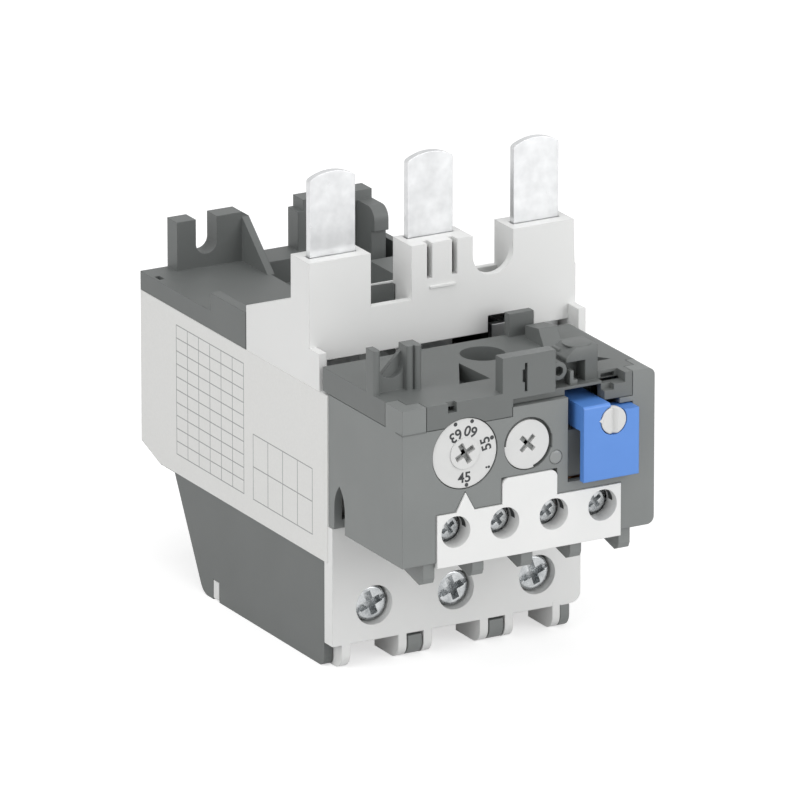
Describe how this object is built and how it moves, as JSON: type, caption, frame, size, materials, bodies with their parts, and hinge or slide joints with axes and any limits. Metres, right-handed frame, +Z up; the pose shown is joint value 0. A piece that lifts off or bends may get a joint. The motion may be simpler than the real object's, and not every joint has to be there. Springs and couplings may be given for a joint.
{
  "type": "thermal overload relay",
  "caption": "Plug-on thermal overload relay: dark base with mounting ears, light shroud with blade towers, grey control module with a dial and a blue reset button.",
  "frame": {"origin": "centre of the overall box at its bottom, where the feet and the base stand", "axes": "+X to the right seen from the front, +Y from the control module to the mounting ears, +Z up, the way the line blades point"},
  "size_m": [0.062, 0.1142, 0.1018],
  "materials": {
    "housing_dark": "fine moulded texture",
    "shroud_light": "fine moulded texture",
    "module_grey": "fine moulded texture",
    "cover_grey": "fine moulded texture",
    "plate_light": "fine moulded texture",
    "label_white": "satin vinyl film",
    "blade_silver": "tin plated copper, satin",
    "screw_zinc": "zinc plated, satin",
    "spring_steel": "satin",
    "copper_bar": "plain copper, satin",
    "bimetal": "satin",
    "heater": "glass sleeve",
    "slider_plastic": "satin",
    "dial_white": "satin",
    "button_blue": "satin",
    "lens_clear": "clear",
    "lever_dark": "satin",
    "flag_orange": "satin"
  },
  "bodies": {
    "housing": {"base_housing": "housing_dark", "terminal_shroud": "shroud_light", "side_label": "label_white", "line_blade_1": "blade_silver", "line_blade_2": "blade_silver", "line_blade_3": "blade_silver", "load_terminal_1": "copper_bar", "load_terminal_2": "copper_bar", "load_terminal_3": "copper_bar", "module_body": "module_grey", "module_cover": "cover_grey", "aux_terminal_plate": "plate_light", "aux_bar_1": "copper_bar", "aux_bar_2": "copper_bar", "aux_bar_3": "copper_bar", "aux_bar_4": "copper_bar", "indicator_lens": "lens_clear", "reset_spring": "spring_steel"},
    "load_screw_1": {"load_screw_1": "screw_zinc"},
    "load_clamp_1": {"load_clamp_1": "screw_zinc"},
    "load_screw_2": {"load_screw_2": "screw_zinc"},
    "load_clamp_2": {"load_clamp_2": "screw_zinc"},
    "load_screw_3": {"load_screw_3": "screw_zinc"},
    "load_clamp_3": {"load_clamp_3": "screw_zinc"},
    "aux_clamp_1": {"aux_clamp_1": "screw_zinc"},
    "aux_screw_1": {"aux_screw_1": "screw_zinc"},
    "aux_clamp_2": {"aux_clamp_2": "screw_zinc"},
    "aux_screw_2": {"aux_screw_2": "screw_zinc"},
    "aux_clamp_3": {"aux_clamp_3": "screw_zinc"},
    "aux_screw_3": {"aux_screw_3": "screw_zinc"},
    "aux_clamp_4": {"aux_clamp_4": "screw_zinc"},
    "aux_screw_4": {"aux_screw_4": "screw_zinc"},
    "bimetal_1": {"bimetal_strip_1": "bimetal", "heater_winding_1": "heater"},
    "bimetal_2": {"bimetal_strip_2": "bimetal", "heater_winding_2": "heater"},
    "bimetal_3": {"bimetal_strip_3": "bimetal", "heater_winding_3": "heater"},
    "trip_slider": {"trip_slider": "slider_plastic", "differential_lever": "slider_plastic"},
    "return_slider": {"return_slider": "slider_plastic"},
    "setting_dial": {"setting_dial": "dial_white", "setting_cam": "slider_plastic"},
    "setting_lever": {"setting_lever": "lever_dark"},
    "compensation_lever": {"compensation_lever": "bimetal"},
    "trip_lever": {"trip_lever": "slider_plastic"},
    "contact_carrier": {"contact_carrier": "slider_plastic", "trip_flag": "flag_orange"},
    "nc_contact_leaf": {"nc_contact_leaf": "copper_bar"},
    "no_contact_leaf": {"no_contact_leaf": "copper_bar"},
    "trim_disc": {"trim_disc": "dial_white"},
    "reset_button": {"reset_button": "button_blue"},
    "reset_selector": {"reset_selector": "dial_white"},
    "test_slider": {"test_slider": "lever_dark"}
  },
  "joints": [
    {"name": "load_screw_1_turn", "type": "hinge", "parent": "housing", "child": "load_screw_1", "pos_m": [-0.0212, -0.0233, 0.01275], "axis": [0, 1, 0], "range_deg": [0, 1800]},
    {"name": "load_clamp_1_lift", "type": "slide", "parent": "housing", "child": "load_clamp_1", "axis": [0, -1, 0], "range_m": [0, 0.005]},
    {"name": "load_screw_2_turn", "type": "hinge", "parent": "housing", "child": "load_screw_2", "pos_m": [-0.0022, -0.0233, 0.01275], "axis": [0, 1, 0], "range_deg": [0, 1800]},
    {"name": "load_clamp_2_lift", "type": "slide", "parent": "housing", "child": "load_clamp_2", "axis": [0, -1, 0], "range_m": [0, 0.005]},
    {"name": "load_screw_3_turn", "type": "hinge", "parent": "housing", "child": "load_screw_3", "pos_m": [0.0168, -0.0233, 0.01275], "axis": [0, 1, 0], "range_deg": [0, 1800]},
    {"name": "load_clamp_3_lift", "type": "slide", "parent": "housing", "child": "load_clamp_3", "axis": [0, -1, 0], "range_m": [0, 0.005]},
    {"name": "aux_clamp_1_press", "type": "slide", "parent": "housing", "child": "aux_clamp_1", "axis": [0, 1, 0], "range_m": [0, 0.0024]},
    {"name": "aux_screw_1_turn", "type": "hinge", "parent": "aux_clamp_1", "child": "aux_screw_1", "pos_m": [-0.01875, -0.0507, 0.0368], "axis": [0, 1, 0], "range_deg": [0, 1440]},
    {"name": "aux_clamp_2_press", "type": "slide", "parent": "housing", "child": "aux_clamp_2", "axis": [0, 1, 0], "range_m": [0, 0.0024]},
    {"name": "aux_screw_2_turn", "type": "hinge", "parent": "aux_clamp_2", "child": "aux_screw_2", "pos_m": [-0.00745, -0.0507, 0.0368], "axis": [0, 1, 0], "range_deg": [0, 1440]},
    {"name": "aux_clamp_3_press", "type": "slide", "parent": "housing", "child": "aux_clamp_3", "axis": [0, 1, 0], "range_m": [0, 0.0024]},
    {"name": "aux_screw_3_turn", "type": "hinge", "parent": "aux_clamp_3", "child": "aux_screw_3", "pos_m": [0.00385, -0.0507, 0.0368], "axis": [0, 1, 0], "range_deg": [0, 1440]},
    {"name": "aux_clamp_4_press", "type": "slide", "parent": "housing", "child": "aux_clamp_4", "axis": [0, 1, 0], "range_m": [0, 0.0024]},
    {"name": "aux_screw_4_turn", "type": "hinge", "parent": "aux_clamp_4", "child": "aux_screw_4", "pos_m": [0.01515, -0.0507, 0.0368], "axis": [0, 1, 0], "range_deg": [0, 1440]},
    {"name": "bimetal_1_bend", "type": "hinge", "parent": "housing", "child": "bimetal_1", "pos_m": [-0.0212, 0.0127, 0.0246], "axis": [0, 1, 0], "range_deg": [0, 4.4]},
    {"name": "bimetal_2_bend", "type": "hinge", "parent": "housing", "child": "bimetal_2", "pos_m": [-0.0022, 0.0127, 0.0246], "axis": [0, 1, 0], "range_deg": [0, 4.4]},
    {"name": "bimetal_3_bend", "type": "hinge", "parent": "housing", "child": "bimetal_3", "pos_m": [0.0168, 0.0127, 0.0246], "axis": [0, 1, 0], "range_deg": [0, 4.4]},
    {"name": "trip_slider_push", "type": "slide", "parent": "housing", "child": "trip_slider", "axis": [1, 0, 0], "range_m": [0, 0.0018], "stiffness_N_per_m": 20},
    {"name": "return_slider_push", "type": "slide", "parent": "housing", "child": "return_slider", "axis": [1, 0, 0], "range_m": [0, 0.0018]},
    {"name": "setting_dial_turn", "type": "hinge", "parent": "housing", "child": "setting_dial", "pos_m": [-0.0165, -0.05345, 0.0529], "axis": [0, 1, 0], "range_deg": [0, 203]},
    {"name": "setting_lever_follow", "type": "hinge", "parent": "housing", "child": "setting_lever", "pos_m": [-0.0224, -0.038, 0.057], "axis": [0, -1, 0], "range_deg": [0, 4.2]},
    {"name": "compensation_lever_swing", "type": "hinge", "parent": "setting_lever", "child": "compensation_lever", "pos_m": [-0.0149, -0.03, 0.046], "axis": [0, 1, 0], "range_deg": [0, 19]},
    {"name": "trip_lever_rock", "type": "hinge", "parent": "housing", "child": "trip_lever", "pos_m": [-0.006, -0.03, 0.05], "axis": [0, 1, 0], "range_deg": [0, 7]},
    {"name": "contact_carrier_drop", "type": "slide", "parent": "housing", "child": "contact_carrier", "axis": [0, 0, -1], "range_m": [0, 0.0012]},
    {"name": "nc_contact_leaf_flex", "type": "hinge", "parent": "housing", "child": "nc_contact_leaf", "pos_m": [-0.01725, -0.0336, 0.04355], "axis": [0, 1, 0], "range_deg": [0, 6]},
    {"name": "no_contact_leaf_flex", "type": "hinge", "parent": "housing", "child": "no_contact_leaf", "pos_m": [0.01365, -0.0336, 0.04355], "axis": [0, -1, 0], "range_deg": [0, 9.1]},
    {"name": "trim_disc_turn", "type": "hinge", "parent": "housing", "child": "trim_disc", "pos_m": [-0.002, -0.05345, 0.0526], "axis": [0, 1, 0], "range_deg": [-45, 45]},
    {"name": "reset_button_press", "type": "slide", "parent": "housing", "child": "reset_button", "axis": [0, 1, 0], "range_m": [0, 0.003], "stiffness_N_per_m": 300, "deforming": ["reset_spring"]},
    {"name": "reset_selector_turn", "type": "hinge", "parent": "reset_button", "child": "reset_selector", "pos_m": [0.016, -0.0571, 0.0555], "axis": [0, 1, 0], "range_deg": [0, 90]},
    {"name": "test_slider_push", "type": "slide", "parent": "housing", "child": "test_slider", "axis": [1, 0, 0], "range_m": [0, 0.002], "stiffness_N_per_m": 200}
  ],
  "couplings": [
    {"joint": "load_screw_1_turn", "follows": "load_clamp_1_lift", "rad_per_m": 6283.2},
    {"joint": "load_screw_2_turn", "follows": "load_clamp_2_lift", "rad_per_m": 6283.2},
    {"joint": "load_screw_3_turn", "follows": "load_clamp_3_lift", "rad_per_m": 6283.2},
    {"joint": "aux_screw_1_turn", "follows": "aux_clamp_1_press", "rad_per_m": 10472},
    {"joint": "aux_screw_2_turn", "follows": "aux_clamp_2_press", "rad_per_m": 10472},
    {"joint": "aux_screw_3_turn", "follows": "aux_clamp_3_press", "rad_per_m": 10472},
    {"joint": "aux_screw_4_turn", "follows": "aux_clamp_4_press", "rad_per_m": 10472},
    {"joint": "bimetal_1_bend", "follows": "trip_slider_push", "rad_per_m": 42.664},
    {"joint": "bimetal_2_bend", "follows": "trip_slider_push", "rad_per_m": 42.664},
    {"joint": "bimetal_3_bend", "follows": "trip_slider_push", "rad_per_m": 42.664},
    {"joint": "return_slider_push", "follows": "trip_slider_push", "ratio": 1},
    {"joint": "setting_dial_turn", "follows": "setting_lever_follow", "ratio": 48.333},
    {"joint": "compensation_lever_swing", "follows": "trip_slider_push", "rad_per_m": 184.23},
    {"joint": "trip_lever_rock", "follows": "contact_carrier_drop", "rad_per_m": 101.81},
    {"joint": "nc_contact_leaf_flex", "follows": "contact_carrier_drop", "rad_per_m": 87.266},
    {"joint": "no_contact_leaf_flex", "follows": "contact_carrier_drop", "rad_per_m": 132.35}
  ]
}
